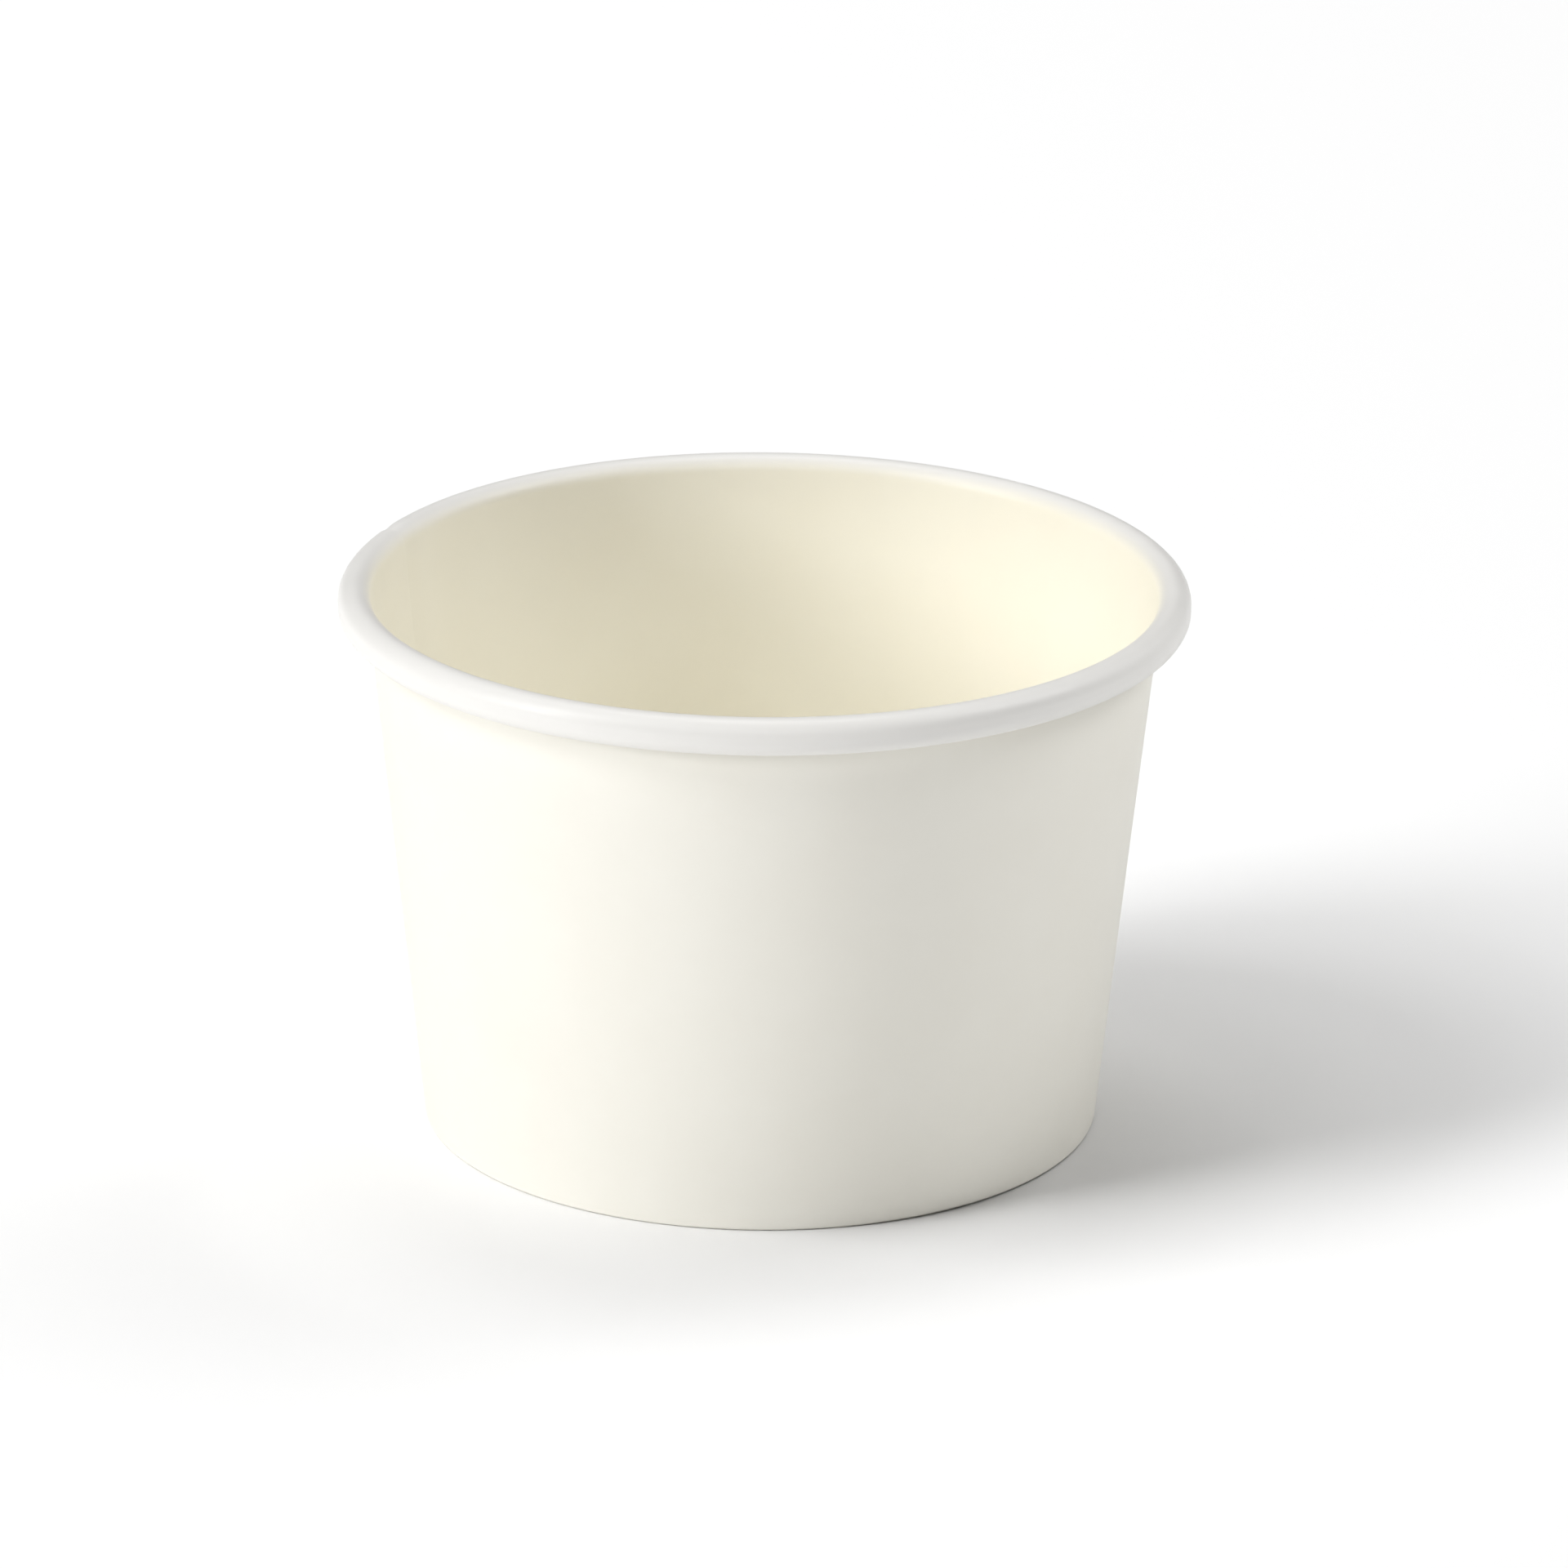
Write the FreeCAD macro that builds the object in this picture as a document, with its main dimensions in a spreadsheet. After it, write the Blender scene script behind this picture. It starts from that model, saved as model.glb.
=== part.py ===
import FreeCAD, Part
import math
import os
import Sketcher

# Paper cup for a sundae. Millimetres, +Z up, origin at the middle of the foot, on the table.
# It is made of two glued pieces: a side wall rolled from one blank of coated board, and a
# bottom disc with a turned-down skirt, which the folded foot of the wall grips.

FULL_TURN = 360.0
START = 1
END = 2
CENTRE = 3
ORIGIN = -1

DRIVING_DIMENSIONS = (
    ("rim_diameter", 76.0, "over the rolled rim"),
    ("cup_height", 50.0, "table to the top of the rim"),
    ("base_diameter", 60.6, "outside of the wall at the table"),
    ("mouth_diameter", 71.1, "outside of the wall, carried up to the top of the rim"),
    ("wall_board", 0.35, "thickness of the wall's board"),
    ("disc_board", 0.30, "thickness of the disc's board"),
    ("roll_height", 3.3, "height of the rolled rim"),
    ("roll_foot_radius", 1.35, "outer lower quarter of the roll"),
    ("roll_return_radius", 1.25, "inner lower quarter of the roll"),
    ("roll_end_radius", 0.95, "end of the board, tucked up inside the roll"),
    ("fold_radius", 0.35, "outer corners of the folded foot"),
    ("hem_height", 4.9, "top of the hem that the foot folds up into"),
    ("disc_level", 5.9, "upper face of the disc above the table"),
    ("disc_bend_radius", 0.6, "outside of the bend between disc and skirt"),
    ("skirt_foot", 0.6, "lower edge of the skirt above the table"),
    ("lap_width", 7.0, "overlap of the blank's two ends, measured at the base"),
    ("lap_ramp", 3.0, "length over which the outer ply comes down beside the overlap"),
    ("lap_bite", 0.1, "how far the ramps run on past the faces that they meet"),
    ("lap_foot", 0.6, "lower end of the raised lap"),
    ("lap_drop", 3.1, "upper end of the raised lap, below the top of the rim"),
    ("step_foot", 6.4, "lower end of the step inside the cup"),
    ("step_drop", 4.2, "upper end of the step inside the cup, below the top of the rim"),
    ("seam_azimuth", 164.0, "direction of the lap seam, from +X towards +Y"),
)


def make_sheet(doc):
    """Put the driving dimensions in a spreadsheet, one alias each."""
    sheet = doc.addObject("Spreadsheet::Sheet", "Dimensions")
    for row, (alias, value, meaning) in enumerate(DRIVING_DIMENSIONS, start=1):
        sheet.set(f"A{row}", meaning)
        sheet.set(f"B{row}", str(value))
        sheet.setAlias(f"B{row}", alias)
    doc.recompute()
    return sheet


class Taper:
    """The wall's taper: places measured along the wall and across its boards."""

    def __init__(self, sheet):
        self.base_radius = sheet.base_diameter / 2
        self.slope = (sheet.mouth_diameter / 2 - self.base_radius) / sheet.cup_height
        self.cos = 1 / math.sqrt(1 + self.slope ** 2)
        self.sin = self.slope * self.cos

    def at(self, depth, level):
        """The point at this height, and this far in from the wall's outer face."""
        along = (level - depth * self.sin) / self.cos
        radius = self.base_radius - depth * self.cos + along * self.sin
        return FreeCAD.Vector(radius, level, 0)

    def across(self, point, distance):
        """The point moved inwards by a distance, square to the wall."""
        return point + FreeCAD.Vector(-self.cos, self.sin, 0) * distance


SLOPE = "((Dimensions.mouth_diameter - Dimensions.base_diameter) / 2 / Dimensions.cup_height)"


def outer_radius(level):
    """Expression for the radius of the wall's outer face at a height."""
    return f"(Dimensions.base_diameter / 2 + {SLOPE} * {level})"


def inner_radius(level):
    """Expression for the radius of the wall's inner face at a height."""
    return f"({outer_radius(level)} - Dimensions.wall_board * sqrt(1 + {SLOPE} ^ 2))"


def origin_plane(body, role):
    """One of the body's own origin planes."""
    return next(f for f in body.Origin.OriginFeatures if f.Role == role)


def new_sketch(body, name, role):
    """A sketch lying on one of the body's origin planes."""
    sketch = body.newObject("Sketcher::SketchObject", name)
    sketch.AttachmentSupport = [(origin_plane(body, role), "")]
    sketch.MapMode = "FlatFace"
    return sketch


def add_line(sketch, start, end, construction=False):
    return sketch.addGeometry(Part.LineSegment(start, end), construction)


def add_arc(sketch, centre, radius, start_degrees, end_degrees):
    circle = Part.Circle(centre, FreeCAD.Vector(0, 0, 1), radius)
    turn = Part.ArcOfCircle(circle, math.radians(start_degrees), math.radians(end_degrees))
    return sketch.addGeometry(turn, False)


def join(sketch, kind, first, first_end, second, second_end):
    """Join two edges end to end, either at a corner or smoothly."""
    sketch.addConstraint(Sketcher.Constraint(kind, first, first_end, second, second_end))


def bind(sketch, name, expression, *constraint):
    """Add a dimension whose value comes from the sheet."""
    index = sketch.addConstraint(Sketcher.Constraint(*constraint))
    sketch.renameConstraint(index, name)
    sketch.setExpression("Constraints." + name, expression)


def guide_line(sketch, name, foot_radius, head_radius, start, end):
    """A fixed construction line up the wall, from the table to the rim's level."""
    guide = add_line(sketch, start, end, True)
    bind(sketch, name + "_foot_x", foot_radius, "DistanceX", ORIGIN, START, guide, START, start.x)
    sketch.addConstraint(Sketcher.Constraint("PointOnObject", guide, START, ORIGIN))
    bind(sketch, name + "_head_x", head_radius, "DistanceX", ORIGIN, START, guide, END, end.x)
    bind(sketch, name + "_head_y", "Dimensions.cup_height",
         "DistanceY", ORIGIN, START, guide, END, end.y)
    return guide


def draw_wall_section(sketch, sheet):
    """The wall's whole section: hem, folded foot, straight wall and rolled rim, one board thick."""
    taper = Taper(sheet)
    board = sheet.wall_board
    skirt = sheet.disc_board
    stack = 2 * board + skirt
    fold = sheet.fold_radius
    height = sheet.cup_height
    rim = sheet.rim_diameter / 2
    wall_degrees = 180 - math.degrees(math.atan(taper.slope))

    # The roll's upper half circle touches the inner face, the rim's height and its diameter.
    top_radius = ((rim - taper.base_radius) * taper.cos - height * taper.sin + board)
    top_radius /= 1 + taper.cos - taper.sin
    top_centre = FreeCAD.Vector(rim - top_radius, height - top_radius, 0)
    foot_radius = sheet.roll_foot_radius
    return_radius = sheet.roll_return_radius
    end_radius = sheet.roll_end_radius
    under = height - sheet.roll_height
    foot_centre = FreeCAD.Vector(rim - foot_radius, under + foot_radius, 0)
    return_centre = FreeCAD.Vector(foot_centre.x, under + return_radius, 0)
    end_centre = return_centre + FreeCAD.Vector(end_radius - return_radius, 0, 0)

    outer_corner = taper.at(fold, fold)
    inner_corner = taper.at(stack - fold, fold)
    fold_centre = taper.at(board + skirt / 2, board + skirt / 2)
    hem_top = taper.at(board + skirt, sheet.hem_height)

    def on_top_arc(radius):
        start = math.radians(wall_degrees)
        return top_centre + FreeCAD.Vector(math.cos(start), math.sin(start), 0) * radius

    def beside(centre, radius):
        return centre + FreeCAD.Vector(radius, 0, 0)

    def above(centre, radius):
        return centre + FreeCAD.Vector(0, radius, 0)

    # Edges from the hem's end down to the foot and up the outer face.
    hem_cap = add_line(sketch, hem_top, taper.across(hem_top, board))
    hem_face = add_line(sketch, taper.across(hem_top, board), taper.across(inner_corner, fold))
    inner_turn = add_arc(sketch, inner_corner, fold, wall_degrees, 270)
    foot_flat = add_line(sketch, above(inner_corner, -fold), above(outer_corner, -fold))
    outer_turn = add_arc(sketch, outer_corner, fold, 270, wall_degrees + 180)
    outer_face = add_line(sketch, taper.across(outer_corner, -fold), on_top_arc(top_radius - board))

    # The hidden face of the roll, inside its hollow, as far as the board's end.
    top_hidden = add_arc(sketch, top_centre, top_radius - board, 0, wall_degrees)
    side_hidden = add_line(sketch, beside(top_centre, top_radius - board),
                           beside(foot_centre, foot_radius - board))
    foot_hidden = add_arc(sketch, foot_centre, foot_radius - board, 270, 360)
    return_hidden = add_arc(sketch, return_centre, return_radius - board, 180, 270)
    end_hidden = add_arc(sketch, end_centre, end_radius - board, 90, 180)
    roll_cap = add_line(sketch, above(end_centre, end_radius - board), above(end_centre, end_radius))

    # The face of the roll that shows, back to the wall's inner face.
    end_shown = add_arc(sketch, end_centre, end_radius, 90, 180)
    return_shown = add_arc(sketch, return_centre, return_radius, 180, 270)
    foot_shown = add_arc(sketch, foot_centre, foot_radius, 270, 360)
    side_shown = add_line(sketch, beside(foot_centre, foot_radius), beside(top_centre, top_radius))
    top_shown = add_arc(sketch, top_centre, top_radius, 0, wall_degrees)
    inner_face = add_line(sketch, on_top_arc(top_radius), taper.across(fold_centre, -skirt / 2))

    # The inside of the fold, round the skirt's lower edge, and up behind the hem.
    fold_inside = add_arc(sketch, fold_centre, skirt / 2, wall_degrees, wall_degrees + 180)
    hem_back = add_line(sketch, taper.across(fold_centre, skirt / 2), hem_top)

    corners = ((hem_cap, END, hem_face, START), (end_hidden, START, roll_cap, START),
               (roll_cap, END, end_shown, START), (hem_back, END, hem_cap, START))
    smooth = ((hem_face, END, inner_turn, START), (inner_turn, END, foot_flat, START),
              (foot_flat, END, outer_turn, START), (outer_turn, END, outer_face, START),
              (outer_face, END, top_hidden, END), (top_hidden, START, side_hidden, START),
              (side_hidden, END, foot_hidden, END), (foot_hidden, START, return_hidden, END),
              (return_hidden, START, end_hidden, END), (end_shown, END, return_shown, START),
              (return_shown, END, foot_shown, START), (foot_shown, END, side_shown, START),
              (side_shown, END, top_shown, START), (top_shown, END, inner_face, START),
              (inner_face, END, fold_inside, END), (fold_inside, START, hem_back, START))
    for joint in corners:
        join(sketch, "Coincident", *joint)
    for joint in smooth:
        join(sketch, "Tangent", *joint)
    for shown, hidden in ((top_shown, top_hidden), (foot_shown, foot_hidden),
                          (return_shown, return_hidden), (end_shown, end_hidden)):
        join(sketch, "Coincident", shown, CENTRE, hidden, CENTRE)

    # The wall's line and the boards lying side by side along it.
    guide = guide_line(sketch, "wall", "Dimensions.base_diameter / 2", "Dimensions.mouth_diameter / 2",
                       FreeCAD.Vector(taper.base_radius, 0, 0),
                       FreeCAD.Vector(sheet.mouth_diameter / 2, height, 0))
    sketch.addConstraint(Sketcher.Constraint("Tangent", outer_face, guide))
    for face in (inner_face, hem_back, hem_face):
        sketch.addConstraint(Sketcher.Constraint("Parallel", face, guide))
    bind(sketch, "wall_thickness", "Dimensions.wall_board",
         "Distance", inner_face, START, guide, board)
    bind(sketch, "hem_thickness", "Dimensions.wall_board",
         "Distance", hem_face, START, hem_back, board)
    bind(sketch, "skirt_slot", "Dimensions.disc_board / 2", "Radius", fold_inside, skirt / 2)
    bind(sketch, "fold_level", "Dimensions.wall_board + Dimensions.disc_board / 2",
         "DistanceY", ORIGIN, START, fold_inside, CENTRE, fold_centre.y)
    bind(sketch, "hem_top", "Dimensions.hem_height",
         "DistanceY", ORIGIN, START, hem_back, END, hem_top.y)
    sketch.addConstraint(Sketcher.Constraint("Perpendicular", hem_cap, hem_back))
    sketch.addConstraint(Sketcher.Constraint("Horizontal", foot_flat))
    sketch.addConstraint(Sketcher.Constraint("PointOnObject", foot_flat, START, ORIGIN))
    bind(sketch, "inner_fold", "Dimensions.fold_radius", "Radius", inner_turn, fold)
    bind(sketch, "outer_fold", "Dimensions.fold_radius", "Radius", outer_turn, fold)

    # The roll: its height and diameter, and the radii of its tightening turn.
    level = add_line(sketch, FreeCAD.Vector(top_centre.x, height, 0),
                     FreeCAD.Vector(rim, height, 0), True)
    bind(sketch, "level_y", "Dimensions.cup_height",
         "DistanceY", ORIGIN, START, level, START, height)
    sketch.addConstraint(Sketcher.Constraint("Horizontal", level))
    sketch.addConstraint(Sketcher.Constraint("Vertical", level, START, top_shown, CENTRE))
    bind(sketch, "level_end", "Dimensions.rim_diameter / 2",
         "DistanceX", ORIGIN, START, level, END, rim)
    sketch.addConstraint(Sketcher.Constraint("Tangent", top_shown, level))
    sketch.addConstraint(Sketcher.Constraint("Vertical", side_shown))
    sketch.addConstraint(Sketcher.Constraint("Vertical", side_hidden))
    bind(sketch, "rim_radius", "Dimensions.rim_diameter / 2",
         "DistanceX", ORIGIN, START, side_shown, END, rim)
    bind(sketch, "foot_turn", "Dimensions.roll_foot_radius", "Radius", foot_shown, foot_radius)
    bind(sketch, "under_side", "Dimensions.cup_height - Dimensions.roll_height",
         "DistanceY", ORIGIN, START, foot_shown, START, under)
    sketch.addConstraint(Sketcher.Constraint("Vertical", foot_shown, START, foot_shown, CENTRE))
    bind(sketch, "return_turn", "Dimensions.roll_return_radius",
         "Radius", return_shown, return_radius)
    sketch.addConstraint(Sketcher.Constraint("Horizontal", return_shown, START, return_shown, CENTRE))
    bind(sketch, "end_turn", "Dimensions.roll_end_radius", "Radius", end_shown, end_radius)
    sketch.addConstraint(Sketcher.Constraint("Vertical", end_shown, START, end_shown, CENTRE))
    sketch.addConstraint(Sketcher.Constraint("Vertical", end_hidden, START, end_hidden, CENTRE))


def add_revolution(body, sketch, name):
    """Turn a section once round the cup's axis."""
    turned = body.newObject("PartDesign::Revolution", name)
    turned.Profile = sketch
    turned.ReferenceAxis = (sketch, ["V_Axis"])
    turned.Angle = FULL_TURN
    return turned


def level_above(sheet, alias):
    """A height above the table, as an expression and as a number."""
    return f"Dimensions.{alias}", getattr(sheet, alias)


def level_below_rim(sheet, alias):
    """A height given by its distance below the rim, as an expression and as a number."""
    return f"(Dimensions.cup_height - Dimensions.{alias})", sheet.cup_height - getattr(sheet, alias)


def raise_sketch(sketch, level_text, level):
    """Lift a horizontal sketch to a height from the sheet."""
    sketch.AttachmentOffset = FreeCAD.Placement(FreeCAD.Vector(0, 0, level), FreeCAD.Rotation())
    sketch.setExpression(".AttachmentOffset.Base.z", level_text)


def bind_arc(sketch, arc, name, radius, radius_value, start_y, end_y):
    """Hold an arc about the axis by its radius and the heights of its ends in the sketch."""
    sketch.addConstraint(Sketcher.Constraint("Coincident", arc, CENTRE, ORIGIN, START))
    bind(sketch, name + "_radius", radius, "Radius", arc, radius_value)
    for end, label, (expression, value) in ((START, "_start", start_y), (END, "_end", end_y)):
        bind(sketch, name + label, expression, "DistanceY", ORIGIN, START, arc, end, value)


def draw_lap_ply(body, sheet, name, level_text, level):
    """One level of the raised lap: an arc one board proud, a raw edge and a ramp."""
    sketch = new_sketch(body, name, "XY_Plane")
    raise_sketch(sketch, level_text, level)
    taper = Taper(sheet)
    face = taper.base_radius + taper.slope * level
    root = face - sheet.lap_bite
    proud = face + sheet.wall_board
    half = sheet.lap_width / 2
    far = half + sheet.lap_ramp
    face_text = outer_radius(level_text)
    half_text = "(Dimensions.lap_width / 2)"
    far_text = "(Dimensions.lap_width / 2 + Dimensions.lap_ramp)"

    def bearing(offset, radius):
        return math.degrees(math.asin(offset / radius))

    top = add_arc(sketch, FreeCAD.Vector(), proud, bearing(-half, proud), bearing(half, proud))
    bottom = add_arc(sketch, FreeCAD.Vector(), root, bearing(-far, root), bearing(half, root))
    raw_edge = add_line(sketch, FreeCAD.Vector(math.sqrt(root ** 2 - half ** 2), half, 0),
                        FreeCAD.Vector(math.sqrt(proud ** 2 - half ** 2), half, 0))
    ramp = add_line(sketch, FreeCAD.Vector(math.sqrt(proud ** 2 - half ** 2), -half, 0),
                    FreeCAD.Vector(math.sqrt(root ** 2 - far ** 2), -far, 0))
    bind_arc(sketch, top, "top", f"{face_text} + Dimensions.wall_board", proud,
             (f"-{half_text}", -half), (half_text, half))
    bind_arc(sketch, bottom, "bottom", f"{face_text} - Dimensions.lap_bite", root,
             (f"-{far_text}", -far), (half_text, half))
    join(sketch, "Coincident", raw_edge, START, bottom, END)
    join(sketch, "Coincident", raw_edge, END, top, END)
    join(sketch, "Coincident", ramp, START, top, START)
    join(sketch, "Coincident", ramp, END, bottom, START)
    return sketch


def draw_inner_step(body, sheet, name, level_text, level):
    """One level of the step inside, from the inner ply's end to where the outer ply has come in."""
    sketch = new_sketch(body, name, "XY_Plane")
    raise_sketch(sketch, level_text, level)
    taper = Taper(sheet)
    face = taper.base_radius + taper.slope * level - sheet.wall_board / taper.cos
    air = face - sheet.wall_board
    deep = face + sheet.wall_board
    near = sheet.lap_width / 2
    far = near + sheet.lap_ramp
    face_text = inner_radius(level_text)

    def point(radius, offset):
        return FreeCAD.Vector(math.sqrt(radius ** 2 - offset ** 2), -offset, 0)

    corners = (point(air, near), point(deep, near), point(face - sheet.lap_bite, far),
               point(air, far))
    radii = (f"({face_text} - Dimensions.wall_board)", f"({face_text} + Dimensions.wall_board)",
             f"({face_text} - Dimensions.lap_bite)", f"({face_text} - Dimensions.wall_board)")
    near_text = "(Dimensions.lap_width / 2)"
    far_text = "(Dimensions.lap_width / 2 + Dimensions.lap_ramp)"
    offsets = (near_text, near_text, far_text, far_text)
    edges = [add_line(sketch, corner, corners[(i + 1) % 4]) for i, corner in enumerate(corners)]
    for i, edge in enumerate(edges):
        join(sketch, "Coincident", edge, END, edges[(i + 1) % 4], START)
    for i, (radius, offset) in enumerate(zip(radii, offsets)):
        bind(sketch, f"corner_{i}_x", f"sqrt({radius} ^ 2 - {offset} ^ 2)",
             "DistanceX", ORIGIN, START, edges[i], START, corners[i].x)
        bind(sketch, f"corner_{i}_y", f"-{offset}",
             "DistanceY", ORIGIN, START, edges[i], START, corners[i].y)
    return sketch


def add_loft(body, kind, name, lower, upper):
    """A straight-sided loft between two levels."""
    loft = body.newObject(kind, name)
    loft.Profile = lower
    loft.Sections = [upper]
    loft.Ruled = True
    return loft


def make_side_wall(doc, sheet):
    """The conical wall, with its rolled rim, folded foot and lap seam."""
    body = doc.addObject("PartDesign::Body", "SideWall")
    body.Label = "side_wall"
    section = new_sketch(body, "WallSection", "XZ_Plane")
    draw_wall_section(section, sheet)
    doc.recompute()
    add_revolution(body, section, "WallTurn")
    doc.recompute()
    lap_foot = draw_lap_ply(body, sheet, "LapFoot", *level_above(sheet, "lap_foot"))
    lap_head = draw_lap_ply(body, sheet, "LapHead", *level_below_rim(sheet, "lap_drop"))
    add_loft(body, "PartDesign::AdditiveLoft", "LapPly", lap_foot, lap_head)
    doc.recompute()
    step_foot = draw_inner_step(body, sheet, "StepFoot", *level_above(sheet, "step_foot"))
    step_head = draw_inner_step(body, sheet, "StepHead", *level_below_rim(sheet, "step_drop"))
    add_loft(body, "PartDesign::SubtractiveLoft", "InnerStep", step_foot, step_head)
    doc.recompute()
    body.setExpression(".Placement.Rotation.Angle", "Dimensions.seam_azimuth")
    return body


def draw_disc_section(sketch, sheet):
    """The disc, its bend and the skirt that follows the wall's inner face."""
    taper = Taper(sheet)
    wall = sheet.wall_board
    board = sheet.disc_board
    bend = sheet.disc_bend_radius
    top = sheet.disc_level
    foot = sheet.skirt_foot
    wall_degrees = 180 - math.degrees(math.atan(taper.slope))
    bend_centre = taper.at(wall + bend, top - bend)
    skirt_outer = taper.across(bend_centre, -bend)
    skirt_end = taper.at(wall, foot)
    edge_x = bend_centre.x

    upper_face = add_line(sketch, FreeCAD.Vector(0, top, 0), FreeCAD.Vector(edge_x, top, 0))
    outer_bend = add_arc(sketch, bend_centre, bend, wall_degrees - 180, 90)
    skirt_face = add_line(sketch, skirt_outer, skirt_end)
    skirt_cap = add_line(sketch, skirt_end, taper.across(skirt_end, board))
    skirt_back = add_line(sketch, taper.across(skirt_end, board), taper.across(skirt_outer, board))
    inner_bend = add_arc(sketch, bend_centre, bend - board, wall_degrees - 180, 90)
    lower_face = add_line(sketch, FreeCAD.Vector(edge_x, top - board, 0),
                          FreeCAD.Vector(0, top - board, 0))
    axis_side = add_line(sketch, FreeCAD.Vector(0, top - board, 0), FreeCAD.Vector(0, top, 0))

    for joint in ((axis_side, END, upper_face, START), (skirt_face, END, skirt_cap, START),
                  (skirt_cap, END, skirt_back, START), (lower_face, END, axis_side, START)):
        join(sketch, "Coincident", *joint)
    for joint in ((upper_face, END, outer_bend, END), (outer_bend, START, skirt_face, START),
                  (skirt_back, END, inner_bend, START), (inner_bend, END, lower_face, START)):
        join(sketch, "Tangent", *joint)
    join(sketch, "Coincident", outer_bend, CENTRE, inner_bend, CENTRE)

    guide = guide_line(sketch, "inside", inner_radius("0"), inner_radius("Dimensions.cup_height"),
                       taper.at(wall, 0), taper.at(wall, sheet.cup_height))
    sketch.addConstraint(Sketcher.Constraint("Tangent", skirt_face, guide))
    sketch.addConstraint(Sketcher.Constraint("Parallel", skirt_back, guide))
    sketch.addConstraint(Sketcher.Constraint("Perpendicular", skirt_cap, guide))
    sketch.addConstraint(Sketcher.Constraint("Horizontal", upper_face))
    sketch.addConstraint(Sketcher.Constraint("Horizontal", lower_face))
    sketch.addConstraint(Sketcher.Constraint("PointOnObject", axis_side, START, -2))
    sketch.addConstraint(Sketcher.Constraint("PointOnObject", axis_side, END, -2))
    bind(sketch, "top_level", "Dimensions.disc_level",
         "DistanceY", ORIGIN, START, axis_side, END, top)
    bind(sketch, "board_thickness", "Dimensions.disc_board",
         "DistanceY", axis_side, START, axis_side, END, board)
    bind(sketch, "bend", "Dimensions.disc_bend_radius", "Radius", outer_bend, bend)
    bind(sketch, "skirt_end", "Dimensions.skirt_foot",
         "DistanceY", ORIGIN, START, skirt_face, END, foot)


def make_bottom_disc(doc, sheet):
    """The bottom, a disc pressed with a skirt, set up inside the foot of the wall."""
    body = doc.addObject("PartDesign::Body", "BottomDisc")
    body.Label = "bottom_disc"
    section = new_sketch(body, "DiscSection", "XZ_Plane")
    draw_disc_section(section, sheet)
    doc.recompute()
    add_revolution(body, section, "DiscTurn")
    doc.recompute()
    body.Placement = FreeCAD.Placement()
    return body


def check(doc, sub_parts):
    """Stop if any object failed, or a sub-part's shape is missing or unsound."""
    for item in doc.Objects:
        if {"Invalid", "Error"} & set(item.State):
            raise RuntimeError(f"{item.Name} failed: {item.State}")
    for body in sub_parts:
        if body.Shape.isNull() or not body.Shape.isValid():
            raise RuntimeError(f"{body.Label} has no sound shape")
        if len(body.Shape.Solids) != 1:
            raise RuntimeError(f"{body.Label} is not one solid")


def export(sub_parts):
    os.makedirs("parts", exist_ok=True)
    for body in sub_parts:
        body.Shape.exportStep(f"parts/{body.Label}.step")
        print(body.Label, round(body.Shape.Volume, 2), "mm3", body.Shape.BoundBox)


def main():
    doc = FreeCAD.newDocument("PaperCup")
    sheet = make_sheet(doc)
    sub_parts = [make_side_wall(doc, sheet), make_bottom_disc(doc, sheet)]
    doc.recompute()
    check(doc, sub_parts)
    export(sub_parts)


main()
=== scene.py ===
import math

import bpy
import numpy as np
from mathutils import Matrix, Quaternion, Vector


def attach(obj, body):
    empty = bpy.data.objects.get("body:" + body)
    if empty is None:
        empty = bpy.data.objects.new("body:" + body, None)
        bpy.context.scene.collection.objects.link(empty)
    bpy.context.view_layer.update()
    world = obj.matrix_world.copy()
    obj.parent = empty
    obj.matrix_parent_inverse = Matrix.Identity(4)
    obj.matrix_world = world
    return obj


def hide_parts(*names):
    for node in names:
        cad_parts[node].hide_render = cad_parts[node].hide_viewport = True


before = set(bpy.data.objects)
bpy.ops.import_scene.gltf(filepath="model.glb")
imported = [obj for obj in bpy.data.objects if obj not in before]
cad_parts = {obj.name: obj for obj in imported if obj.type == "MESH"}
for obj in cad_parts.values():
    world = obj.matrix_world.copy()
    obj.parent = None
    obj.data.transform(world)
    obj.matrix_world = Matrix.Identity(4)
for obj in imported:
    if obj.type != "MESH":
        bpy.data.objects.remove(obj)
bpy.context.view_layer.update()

MM = 0.001

# The cup's sizes, as in the frame.
RIM_RADIUS = 38.0 * MM
HEIGHT = 50.0 * MM
BASE_RADIUS = 30.3 * MM
MOUTH_RADIUS = 35.55 * MM
WALL_BOARD = 0.35 * MM
DISC_BOARD = 0.30 * MM
ROLL_HEIGHT = 3.3 * MM
ROLL_FOOT_RADIUS = 1.35 * MM
ROLL_RETURN_RADIUS = 1.25 * MM
ROLL_END_RADIUS = 0.95 * MM
FOLD_RADIUS = 0.35 * MM
HEM_HEIGHT = 4.9 * MM
DISC_LEVEL = 5.9 * MM
DISC_BEND_RADIUS = 0.6 * MM
SKIRT_FOOT = 0.6 * MM

# The lap seam: the two ends of the blank, one over the other.
SEAM_AZIMUTH = math.radians(164.0)
LAP_HALF = 3.5 * MM
LAP_RAMP = 3.0 * MM
LAP_LEAD = 1.0 * MM
GLUE_GAP = 0.01 * MM

# How far the lap stands proud: a full board up the wall, and pressed thin at the foot and rim.
PROUD_WALL = WALL_BOARD
PROUD_HEM = 0.12 * MM
PROUD_ROLL = 0.04 * MM
RISE_FROM = 1.0 * MM
RISE_HEIGHT = 1.2 * MM
FADE_BELOW_ROLL = 1.0 * MM
FADE_HEIGHT = 0.8 * MM

# The turn over the rim within which the film goes from its cream to the painted shade on the roll.
TURN_OVER = math.radians(65.0)

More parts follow.
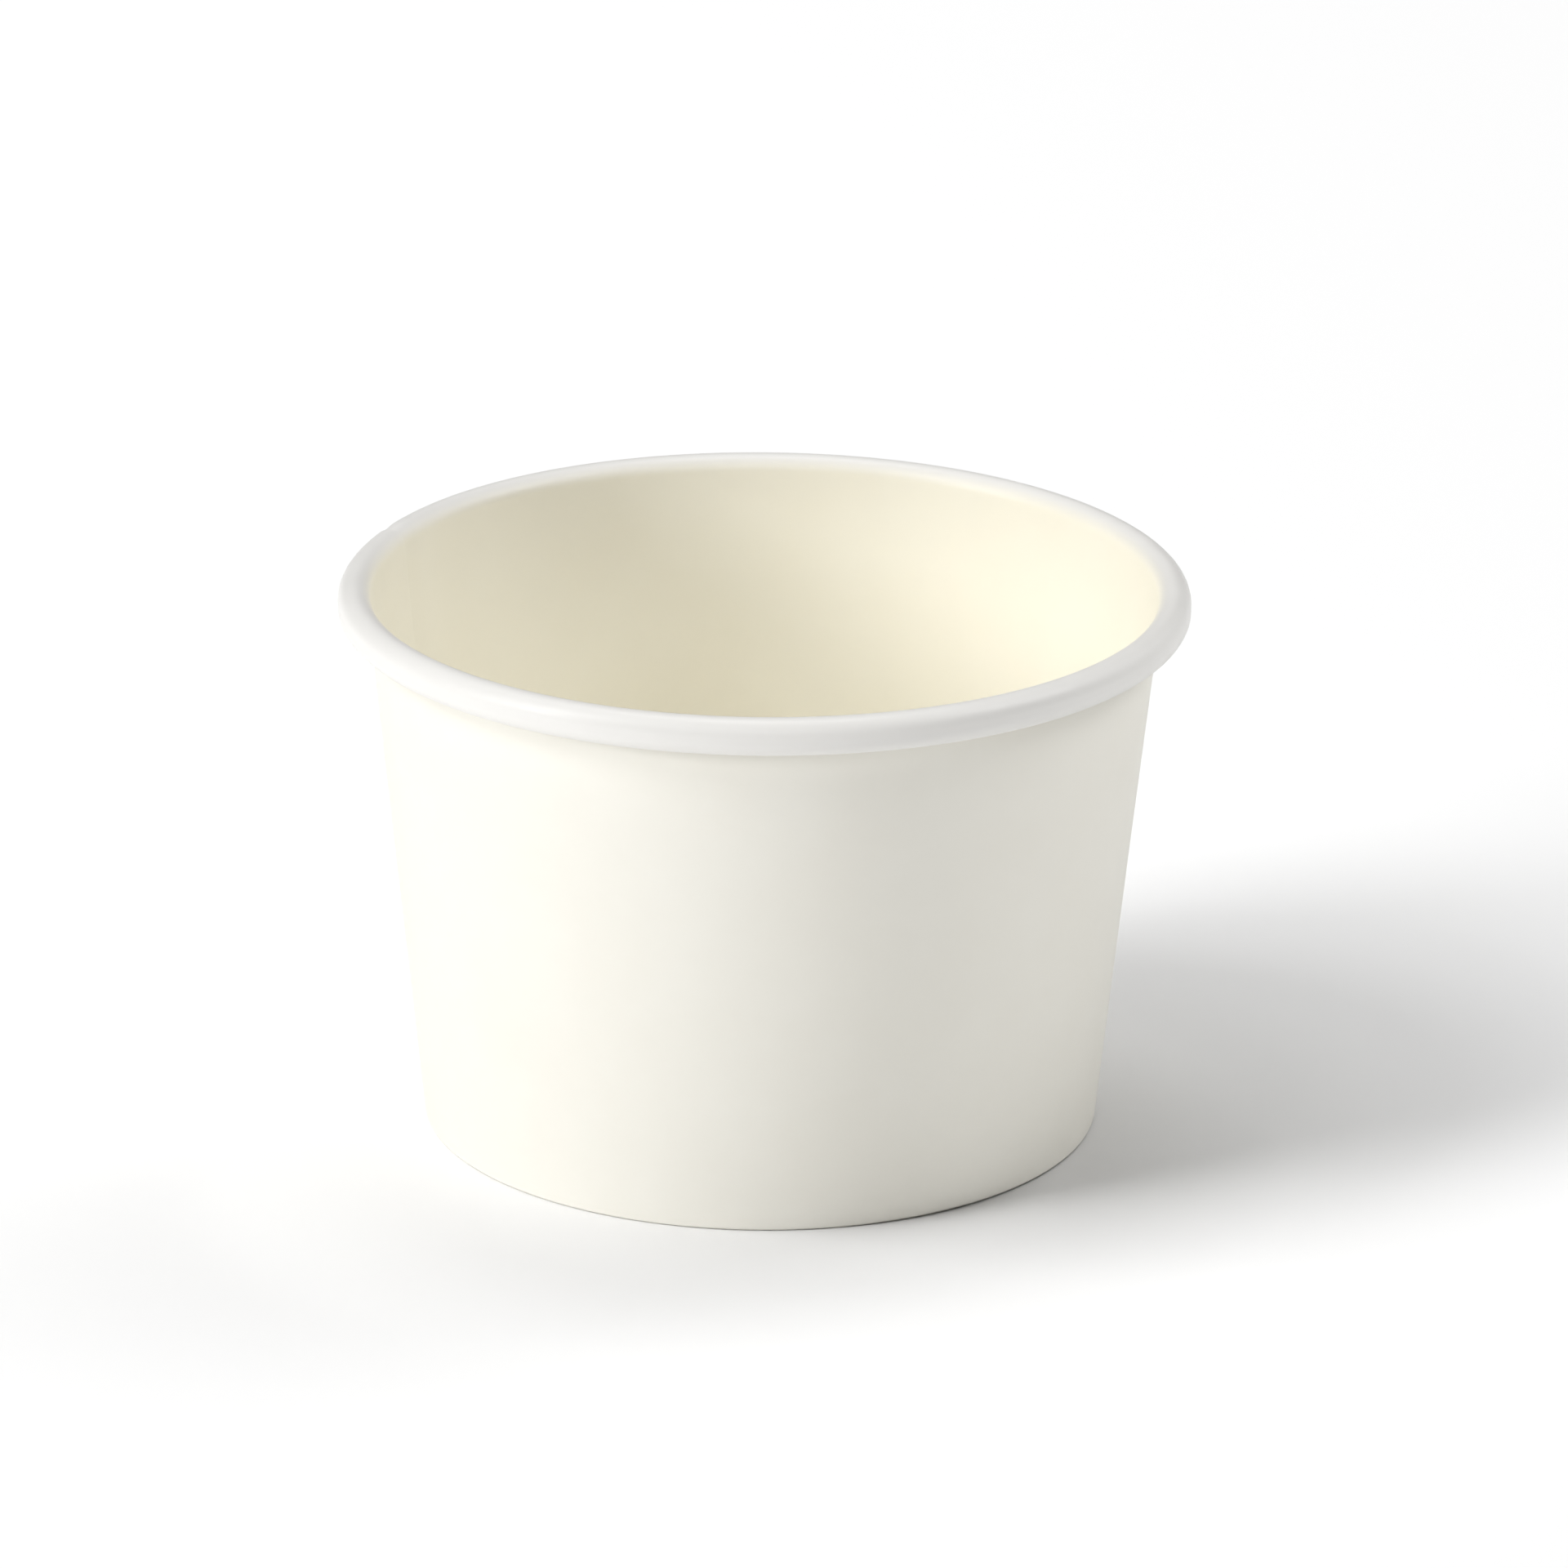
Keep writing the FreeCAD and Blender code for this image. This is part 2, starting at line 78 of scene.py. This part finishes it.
# The slight unevenness of a real cup.
OVAL = 0.06 * MM
SEAM_FLAT = 0.19 * MM
SEAM_FLAT_SPREAD = math.radians(24)
SWELL = 0.014 * MM
RIPPLE = 0.008 * MM
DISC_WAVE = 0.06 * MM

# How finely the sheets are divided.
HEM_ROWS = 7
FOLD_ROWS = 9
FOLD_FLAT_ROWS = 3
WALL_ROWS = 49
ROLL_ROWS = (29, 15, 13, 11)
ROLL_SIDE_ROWS = 3
LAP_COLUMNS = 10
RAMP_COLUMNS = 9
LEAD_COLUMNS = 5
PLAIN_COLUMNS = 250
DISC_FLAT_ROWS = 26
DISC_BEND_ROWS = 11
SKIRT_ROWS = 7
DISC_COLUMNS = 240
DISC_EYE = 0.02
SHARP_ANGLE = math.radians(50)

# The wall's taper.
SLOPE = (MOUTH_RADIUS - BASE_RADIUS) / HEIGHT
COS = 1 / math.sqrt(1 + SLOPE ** 2)
SIN = SLOPE * COS
ALONG = np.array((SIN, COS))
ACROSS = np.array((COS, -SIN))
LEAN = math.atan(SLOPE)


def at(depth, level):
    """Radius and height of the point at this height, this far in from the wall's outer face."""
    along = (level - depth * SIN) / COS
    return np.array((BASE_RADIUS, 0.0)) - depth * ACROSS + along * ALONG


def turn(centre, radius, start, end, count):
    """Points of an arc in the section, with its angles in radians."""
    angles = np.linspace(start, end, count)
    return centre + radius * np.stack((np.cos(angles), np.sin(angles)), 1)


def run(start, end, count):
    """Points of a straight stretch in the section."""
    share = np.linspace(0, 1, count)[:, None]
    return np.asarray(start) * (1 - share) + np.asarray(end) * share


def wall_section():
    """The board's two faces as lists of matching points, how far a lap stands proud at each, and
    how far the film has turned over the rim, from 0 in the cup to 1 on the roll."""
    top_radius = (RIM_RADIUS - BASE_RADIUS) * COS - HEIGHT * SIN + WALL_BOARD
    top_radius /= 1 + COS - SIN
    top = np.array((RIM_RADIUS - top_radius, HEIGHT - top_radius))
    under = HEIGHT - ROLL_HEIGHT
    foot = np.array((RIM_RADIUS - ROLL_FOOT_RADIUS, under + ROLL_FOOT_RADIUS))
    back = np.array((foot[0], under + ROLL_RETURN_RADIUS))
    end = back + (ROLL_END_RADIUS - ROLL_RETURN_RADIUS, 0)
    half_slot = DISC_BOARD / 2
    fold = at(WALL_BOARD + half_slot, WALL_BOARD + half_slot)
    outer_corner = at(FOLD_RADIUS, FOLD_RADIUS)
    inner_corner = at(2 * WALL_BOARD + DISC_BOARD - FOLD_RADIUS, FOLD_RADIUS)
    hem_top = at(WALL_BOARD + DISC_BOARD, HEM_HEIGHT)
    lean_in = math.pi - LEAN
    board = WALL_BOARD * ACROSS

    shown, printed, proud, turned = [], [], [], []

    def add(shown_points, printed_points, lap, over=0.0):
        skip = 1 if shown else 0
        shown.extend(shown_points[skip:])
        printed.extend(printed_points[skip:])
        proud.extend(np.broadcast_to(lap, len(shown_points))[skip:])
        turned.extend(np.broadcast_to(over, len(shown_points))[skip:])

    # Down behind the hem, round the fold and up the wall.
    hem_foot = fold - half_slot * ACROSS
    add(run(hem_top, hem_foot, HEM_ROWS), run(hem_top - board, hem_foot - board, HEM_ROWS), PROUD_HEM)
    fold_outside = np.concatenate((
        turn(inner_corner, FOLD_RADIUS, lean_in, 1.5 * math.pi, FOLD_ROWS)[:-1],
        run(inner_corner - (0, FOLD_RADIUS), outer_corner - (0, FOLD_RADIUS), FOLD_FLAT_ROWS)[:-1],
        turn(outer_corner, FOLD_RADIUS, 1.5 * math.pi, 2 * math.pi - LEAN, FOLD_ROWS)))
    fold_inside = turn(fold, half_slot, lean_in, 2 * math.pi - LEAN, len(fold_outside))
    press = np.clip(np.abs(np.linspace(-1, 1, len(fold_outside))) * 2 - 1, 0, 1) ** 2
    add(fold_inside, fold_outside, press * PROUD_HEM)
    wall_foot = fold + half_slot * ACROSS
    wall_head = top + top_radius * np.array((math.cos(lean_in), math.sin(lean_in)))
    wall_inside = run(wall_foot, wall_head, WALL_ROWS)
    level = wall_inside[:, 1]
    rise = np.clip((level - RISE_FROM) / RISE_HEIGHT, 0, 1)
    fade = np.clip((level - (under - FADE_BELOW_ROLL)) / FADE_HEIGHT, 0, 1)
    wall_proud = (PROUD_HEM + (PROUD_WALL - PROUD_HEM) * ease(rise)) * (1 - ease(fade))
    add(wall_inside, wall_inside + board, wall_proud + PROUD_ROLL * ease(fade))

    # Over the roll and round inside it.
    arcs = ((top, top_radius, lean_in, 0),
            (foot, ROLL_FOOT_RADIUS, 0, -0.5 * math.pi),
            (back, ROLL_RETURN_RADIUS, -0.5 * math.pi, -math.pi),
            (end, ROLL_END_RADIUS, -math.pi, -1.5 * math.pi))
    for (centre, radius, start, stop), count in zip(arcs, ROLL_ROWS):
        outer = turn(centre, radius, start, stop, count)
        inner = turn(centre, radius - WALL_BOARD, start, stop, count)
        over = 1.0
        if centre is top:
            over = ease(np.clip(np.linspace(0, start / TURN_OVER, count), 0, 1))
        if centre is foot:
            add(run(shown[-1], outer[0], ROLL_SIDE_ROWS), run(printed[-1], inner[0], ROLL_SIDE_ROWS),
                PROUD_ROLL, over)
        add(outer, inner, PROUD_ROLL, over)
    return np.array(shown), np.array(printed), np.array(proud), np.array(turned)


def ease(share):
    """A smooth step from 0 to 1."""
    return share * share * (3 - 2 * share)


def sway(azimuth, level):
    """The slight unevenness of a real cup: how far its wall stands inside a true cone."""
    share = np.clip(level / HEIGHT, 0, 1)
    belly = np.sin(math.pi * share)
    from_seam = np.remainder(azimuth - SEAM_AZIMUTH + math.pi, 2 * math.pi) - math.pi
    oval = OVAL * (1 - np.cos(2 * azimuth)) * share
    flat = SEAM_FLAT * np.exp(-(from_seam / SEAM_FLAT_SPREAD) ** 2) * share ** 4
    swell = SWELL * (1 + np.cos(5 * azimuth - 1.3 + 2.0 * share)) * belly
    ripple = RIPPLE * (1 + np.cos(9 * azimuth + 3.0 * share)) * belly ** 2
    return oval + flat + swell + ripple


def round_point(radius, level, azimuth):
    """Points from radius, height and azimuth, with the cup's slight unevenness."""
    radius = radius - sway(azimuth, level)
    return np.stack((radius * np.cos(azimuth), radius * np.sin(azimuth), level), -1)


def sheet_mesh(name, shown, printed, slots, wrap):
    """A closed mesh of a board from the grids of its two faces. The slots are for the shown
    face, the printed face and the cut edges. With wrap, the last column meets the first."""
    columns, rows = shown.shape[:2]
    points = np.concatenate((shown.reshape(-1, 3), printed.reshape(-1, 3)))
    side = columns * rows
    faces, materials = [], []

    def add(a, b, c, d, slot):
        faces.append((a, b, c, d))
        materials.append(slot)

    last = columns if wrap else columns - 1
    for i in range(last):
        here, there = i * rows, (i + 1) % columns * rows
        for j in range(rows - 1):
            add(here + j, here + j + 1, there + j + 1, there + j, slots[0])
            add(side + here + j, side + there + j, side + there + j + 1, side + here + j + 1, slots[1])
        add(here, there, side + there, side + here, slots[2])
        top = rows - 1
        add(here + top, side + here + top, side + there + top, there + top, slots[2])
    if not wrap:
        end = (columns - 1) * rows
        for j in range(rows - 1):
            add(j, side + j, side + j + 1, j + 1, slots[2])
            add(end + j, end + j + 1, side + end + j + 1, side + end + j, slots[2])
    mesh = bpy.data.meshes.new(name)
    mesh.from_pydata(points.tolist(), [], faces)
    mesh.polygons.foreach_set("material_index", materials)
    mesh.polygons.foreach_set("use_smooth", [True] * len(faces))
    mesh.set_sharp_from_angle(angle=SHARP_ANGLE)
    mesh.update()
    piece = bpy.data.objects.new(name, mesh)
    bpy.context.scene.collection.objects.link(piece)
    return piece


def lap_columns():
    """The columns round the cup: offsets from the seam at the blank's two ends, and shares of
    the plain stretch between them."""
    lap = np.linspace(-LAP_HALF, LAP_HALF, LAP_COLUMNS)
    ramp = np.linspace(LAP_HALF, LAP_HALF + LAP_RAMP, RAMP_COLUMNS)
    lead = np.linspace(-LAP_HALF - LAP_LEAD, -LAP_HALF, LEAD_COLUMNS)
    outer_end = np.concatenate((lap, ramp[1:]))
    inner_end = np.concatenate((lead, lap[1:]))
    plain = np.linspace(0, 1, PLAIN_COLUMNS)[1:-1]
    return outer_end, plain, inner_end


def make_side_wall():
    """The rolled blank: wall, roll, folded foot and hem, with its two ends lapped."""
    shown, printed, proud, turned = wall_section()
    radius = shown[:, 0]
    outer_end, plain, inner_end = lap_columns()
    start = np.arcsin(outer_end[:, None] / radius)
    stop = 2 * math.pi + np.arcsin(inner_end[:, None] / radius)
    between = start[-1] + plain[:, None] * (stop[0] - start[-1])
    azimuth = SEAM_AZIMUTH - np.concatenate((start, between, stop))

    over = ease(np.clip((LAP_HALF + LAP_RAMP - outer_end) / LAP_RAMP, 0, 1))
    under = ease(np.clip((inner_end + LAP_HALF + LAP_LEAD) / LAP_LEAD, 0, 1))
    over = np.concatenate((over, np.zeros(len(plain) + len(inner_end))))[:, None]
    under = np.concatenate((np.zeros(len(outer_end) + len(plain)), under))[:, None]
    shown_shift = over * ((WALL_BOARD + proud) / 2 + GLUE_GAP)
    printed_shift = over * proud - under * (WALL_BOARD - proud) / 2

    across = (printed - shown) / np.linalg.norm(printed - shown, axis=1, keepdims=True)
    shown_rz = shown[None] + shown_shift[..., None] * across[None]
    printed_rz = printed[None] + printed_shift[..., None] * across[None]
    grids = [round_point(rz[..., 0], rz[..., 1], azimuth)[::-1] for rz in (shown_rz, printed_rz)]
    piece = sheet_mesh("cup_side_wall", *grids, (0, 1, 2), False)
    attribute = piece.data.attributes.new("turned", "FLOAT", "POINT")
    attribute.data.foreach_set("value", np.tile(turned, 2 * len(azimuth)))
    return piece


def make_bottom_disc():
    """The bottom: a disc of board with its bend and skirt, in one sheet."""
    bend = at(WALL_BOARD + DISC_BEND_RADIUS, DISC_LEVEL - DISC_BEND_RADIUS)
    skirt_end = at(WALL_BOARD, SKIRT_FOOT)
    upper_turn = turn(bend, DISC_BEND_RADIUS, 0.5 * math.pi, -LEAN, DISC_BEND_ROWS)
    lower_turn = turn(bend, DISC_BEND_RADIUS - DISC_BOARD, 0.5 * math.pi, -LEAN, DISC_BEND_ROWS)
    flat = np.linspace(DISC_EYE, 1, DISC_FLAT_ROWS)[:, None] ** 0.8
    axis = np.array((0.0, DISC_LEVEL))
    upper = np.concatenate((axis + flat * (upper_turn[0] - axis), upper_turn[1:],
                            run(upper_turn[-1], skirt_end, SKIRT_ROWS)[1:]))
    axis = axis - (0, DISC_BOARD)
    lower = np.concatenate((axis + flat * (lower_turn[0] - axis), lower_turn[1:],
                            run(lower_turn[-1], skirt_end - DISC_BOARD * ACROSS, SKIRT_ROWS)[1:]))
    azimuth = np.linspace(0, 2 * math.pi, DISC_COLUMNS + 1)[:-1][:, None]
    inset = np.clip((upper[:, 0] - 0.8 * bend[0]) / (0.2 * bend[0]), 0, 1)

    def grid(section):
        radius, level = section[:, 0], section[:, 1]
        calm = 1 - ease(inset)
        wave = DISC_WAVE * calm * (np.cos(2 * azimuth + 0.4) + 0.6 * np.cos(3 * azimuth - 1.0))
        wave = wave * np.clip(radius / bend[0], 0, 1) ** 2
        spot = round_point(radius, level + 0 * azimuth, azimuth)
        spot[..., 2] += wave
        return spot

    piece = sheet_mesh("cup_bottom_disc", grid(lower), grid(upper), (1, 0, 2), True)
    close_middle(piece.data, len(upper), len(azimuth))
    return piece


def close_middle(mesh, rows, columns):
    """Fill the small ring left open round the disc's axis on both faces."""
    side = rows * columns
    lower = [i * rows for i in range(columns)]
    upper = [side + i * rows for i in range(columns)]
    points = [tuple(v.co) for v in mesh.vertices]
    keep = [tuple(p.vertices) for p in mesh.polygons if set(p.vertices) - set(lower) - set(upper)]
    slots = [p.material_index for p in mesh.polygons if set(p.vertices) - set(lower) - set(upper)]
    faces = keep + [tuple(upper), tuple(reversed(lower))]
    mesh.clear_geometry()
    mesh.from_pydata(points, [], faces)
    mesh.polygons.foreach_set("material_index", slots + [0, 1])
    mesh.polygons.foreach_set("use_smooth", [True] * len(faces))
    mesh.set_sharp_from_angle(angle=SHARP_ANGLE)
    mesh.update()


class Nodes:
    """A short way to add shader nodes and links."""

    def __init__(self, name):
        self.material = bpy.data.materials.new(name)
        self.material.use_nodes = True
        self.tree = self.material.node_tree
        self.shader = self.tree.nodes["Principled BSDF"]

    def add(self, kind, inputs=(), **settings):
        node = self.tree.nodes.new(kind)
        for key, value in settings.items():
            setattr(node, key, value)
        for socket, value in dict(inputs).items():
            if isinstance(value, bpy.types.NodeSocket):
                self.tree.links.new(value, node.inputs[socket])
            else:
                node.inputs[socket].default_value = value
        return node

    def set(self, socket, value):
        if isinstance(value, bpy.types.NodeSocket):
            self.tree.links.new(value, self.shader.inputs[socket])
        else:
            self.shader.inputs[socket].default_value = value

    def noise(self, scale, detail=3.0, roughness=0.55, vector=None):
        if vector is None:
            vector = self.place()
        inputs = {"Vector": vector, "Scale": scale, "Detail": detail, "Roughness": roughness}
        return self.add("ShaderNodeTexNoise", inputs).outputs["Fac"]

    def place(self):
        return self.add("ShaderNodeTexCoord").outputs["Object"]

    def mix(self, share, first, second):
        node = self.add("ShaderNodeMix", data_type="RGBA")
        self.tree.links.new(share, node.inputs["Factor"])
        for socket, value in ((6, first), (7, second)):
            if isinstance(value, bpy.types.NodeSocket):
                self.tree.links.new(value, node.inputs[socket])
            else:
                node.inputs[socket].default_value = (*value, 1)
        return node.outputs[2]

    def span(self, value, low, high, to_low=0.0, to_high=1.0):
        inputs = {"Value": value, "From Min": low, "From Max": high, "To Min": to_low, "To Max": to_high}
        return self.add("ShaderNodeMapRange", inputs).outputs["Result"]

    def bump(self, height, strength, distance, normal=None):
        inputs = {"Height": height, "Strength": strength, "Distance": distance}
        if normal is not None:
            inputs["Normal"] = normal
        return self.add("ShaderNodeBump", inputs).outputs["Normal"]


# Colours, and the scale and depth of the board's fine relief.
OUTER_WHITE = (0.900, 0.881, 0.808)
OUTER_SHADE = (0.888, 0.866, 0.790)
INNER_CREAM = (0.980, 0.950, 0.838)
INNER_SHADE = (0.972, 0.938, 0.820)
# On the roll the film is painted greyer and less cream than in the cup: painted shade, as the film is
# the same all over.
RIM_PAINTED_SHADE = (0.854, 0.842, 0.814)
CUT_FIBRE = (0.900, 0.875, 0.800)
CUT_DARK = (0.860, 0.830, 0.755)
FIBRE_SCALE = 1600.0
GRAIN_SCALE = 420.0
CLOUD_SCALE = 90.0
FIBRE_RELIEF = 0.012 * MM
GRAIN_RELIEF = 0.03 * MM
CUT_RELIEF = 0.02 * MM


def board_surface(nodes, strength):
    """The fine relief of coated board: short fibres over a slow unevenness."""
    place = nodes.place()
    stretch = nodes.add("ShaderNodeMapping", {"Vector": place, "Scale": (1.0, 1.0, 0.45)})
    fibre = nodes.noise(FIBRE_SCALE, 4.0, 0.6, stretch.outputs["Vector"])
    grain = nodes.noise(GRAIN_SCALE, 2.0, 0.5, place)
    rough = nodes.bump(fibre, strength, FIBRE_RELIEF)
    return nodes.bump(grain, strength, GRAIN_RELIEF, rough)


def outer_coat():
    """Matt clay-coated white board."""
    nodes = Nodes("outer_coat")
    cloud = nodes.noise(CLOUD_SCALE, 3.0)
    nodes.set("Base Color", nodes.mix(nodes.span(cloud, 0.35, 0.65), OUTER_WHITE, OUTER_SHADE))
    nodes.set("Roughness", nodes.span(nodes.noise(GRAIN_SCALE), 0.3, 0.7, 0.50, 0.62))
    nodes.set("Specular IOR Level", 0.35)
    nodes.set("Normal", board_surface(nodes, 0.35))
    return nodes.material


def inner_film():
    """The inner face with its thin film: cream in the cup, and painted shade on the roll, greyer and
    less cream, where it turns over the rim.
    """
    nodes = Nodes("inner_film")
    cloud = nodes.span(nodes.noise(CLOUD_SCALE, 3.0), 0.35, 0.65)
    cream = nodes.mix(cloud, INNER_CREAM, INNER_SHADE)
    # Where the film turns over the rim its cream is blended into painted shade.
    over = nodes.add("ShaderNodeAttribute", attribute_name="turned").outputs["Fac"]
    nodes.set("Base Color", nodes.mix(over, cream, RIM_PAINTED_SHADE))
    nodes.set("Roughness", nodes.span(nodes.noise(GRAIN_SCALE), 0.3, 0.7, 0.36, 0.48))
    nodes.set("Specular IOR Level", 0.4)
    nodes.set("Normal", board_surface(nodes, 0.25))
    return nodes.material


def cut_edge():
    """The bare fibres where the board was cut."""
    nodes = Nodes("cut_edge")
    layers = nodes.noise(FIBRE_SCALE * 2, 4.0, 0.7)
    nodes.set("Base Color", nodes.mix(nodes.span(layers, 0.35, 0.7), CUT_FIBRE, CUT_DARK))
    nodes.set("Roughness", 0.9)
    nodes.set("Normal", nodes.bump(layers, 0.4, CUT_RELIEF))
    return nodes.material


def dress(piece, node, materials):
    """Give a piece its materials and tie it to the frame."""
    for material in materials:
        piece.data.materials.append(material)
    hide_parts(node)
    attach(piece, "root")


FLOOR_HALF = 3.0
FLOOR_WHITE = (0.882, 0.882, 0.882)


def make_floor():
    """The plain white ground, wide enough to fill the picture."""
    mesh = bpy.data.meshes.new("floor")
    corners = [(x * FLOOR_HALF, y * FLOOR_HALF, 0.0) for x, y in ((-1, -1), (1, -1), (1, 1), (-1, 1))]
    mesh.from_pydata(corners, [], [(0, 1, 2, 3)])
    floor = bpy.data.objects.new("floor", mesh)
    bpy.context.scene.collection.objects.link(floor)
    nodes = Nodes("floor_white")
    nodes.set("Base Color", (*FLOOR_WHITE, 1))
    nodes.set("Roughness", 0.9)
    nodes.set("Specular IOR Level", 0.1)
    mesh.materials.append(nodes.material)
    return floor


# Soft round lights: azimuth (0 is the viewer's side, 90 the right), elevation, size, power.
# The fill lights reach the cup alone, and the ground lights the floor alone.
LIGHT_DISTANCE = 3.0
LIGHTS = {
    "key_low": (-66, 18, 1.0, 36.5),
    "key_high": (-66, 42, 1.0, 27.5),
    "left_back": (-135, 60, 1.5, 7.0),
    "back": (180, 74, 1.2, 19.0),
    "right_back": (125, 25, 2.4, 16.0),
}
FILL_LIGHTS = {
    "fill_front": (0, 30, 1.5, 14.5),
    "fill_right": (90, 45, 1.5, 31.0),
}
GROUND_LIGHTS = {
    "ground_left": (-82, 54, 1.0, 24.0),
    "ground_right_back": (135, 50, 1.5, 20.0),
    "ground_high": (-90, 72, 1.2, 12.5),
}


def area_light(name, azimuth, elevation, size, power):
    """A soft round light that looks at the cup."""
    data = bpy.data.lights.new(name, "AREA")
    data.shape = "DISK"
    data.size = size
    data.energy = power
    data.cycles.use_multiple_importance_sampling = False
    light = bpy.data.objects.new(name, data)
    bpy.context.scene.collection.objects.link(light)
    turn_to, rise = math.radians(azimuth), math.radians(elevation)
    toward = Vector((math.sin(turn_to) * math.cos(rise), -math.cos(turn_to) * math.cos(rise),
                     math.sin(rise)))
    light.location = Vector((0, 0, HEIGHT / 2)) + toward * LIGHT_DISTANCE
    light.rotation_euler = toward.to_track_quat("Z", "Y").to_euler()
    return light


def make_lights(settings, name=None, receivers=()):
    """A group of lights, kept to the receivers where it has a name."""
    lights = [area_light(label, *values) for label, values in settings.items()]
    if name is not None:
        group = bpy.data.collections.new(name)
        for piece in receivers:
            group.objects.link(piece)
        for light in lights:
            light.light_linking.receiver_collection = group


def make_studio():
    """A dark world, so that the lights alone count, and plain colours."""
    world = bpy.data.worlds.new("studio")
    world.use_nodes = True
    world.node_tree.nodes["Background"].inputs["Strength"].default_value = 0.0
    bpy.context.scene.world = world
    bpy.context.scene.view_settings.view_transform = "Standard"


# The camera: the photo's viewing angle, with the cup's middle where the photo has it.
FRAME_SIDE = 1920
SENSOR = 36.0
FOCAL_PIXELS = 12423.8
CAMERA_DISTANCE = 23.968 * RIM_RADIUS
CAMERA_ELEVATION = math.radians(20.335)
CAMERA_ROLL = math.radians(0.467)
CLIP_NEAR, CLIP_FAR = 0.01, 20.0
MIDDLE_PIXEL = (933.2, 1033.7)


def make_camera():
    """The camera on the viewer's side, turned so that the cup lands where the photo has it."""
    data = bpy.data.cameras.new("camera")
    data.sensor_width = SENSOR
    data.lens = SENSOR * FOCAL_PIXELS / FRAME_SIDE
    data.clip_start, data.clip_end = CLIP_NEAR, CLIP_FAR
    camera = bpy.data.objects.new("camera", data)
    bpy.context.scene.collection.objects.link(camera)
    back = Vector((0, -math.cos(CAMERA_ELEVATION), math.sin(CAMERA_ELEVATION)))
    camera.location = Vector((0, 0, HEIGHT / 2)) + back * CAMERA_DISTANCE
    half = FRAME_SIDE / 2
    aside = math.atan((half - MIDDLE_PIXEL[0]) / FOCAL_PIXELS)
    raised = math.atan((MIDDLE_PIXEL[1] - half) / FOCAL_PIXELS)
    looking = (-back).to_track_quat("-Z", "Y")
    aim = Quaternion((0, 1, 0), -aside) @ Quaternion((1, 0, 0), raised)
    roll = Quaternion(back, CAMERA_ROLL)
    camera.rotation_mode = "QUATERNION"
    camera.rotation_quaternion = roll @ looking @ aim
    bpy.context.scene.camera = camera


film, coat, cut = inner_film(), outer_coat(), cut_edge()
side_wall, bottom_disc = make_side_wall(), make_bottom_disc()
dress(side_wall, "side_wall", (film, coat, cut))
dress(bottom_disc, "bottom_disc", (film, coat, cut))
floor = make_floor()
make_studio()
make_lights(LIGHTS)
make_lights(FILL_LIGHTS, "lit_cup", (side_wall, bottom_disc))
make_lights(GROUND_LIGHTS, "lit_floor", (floor,))
make_camera()
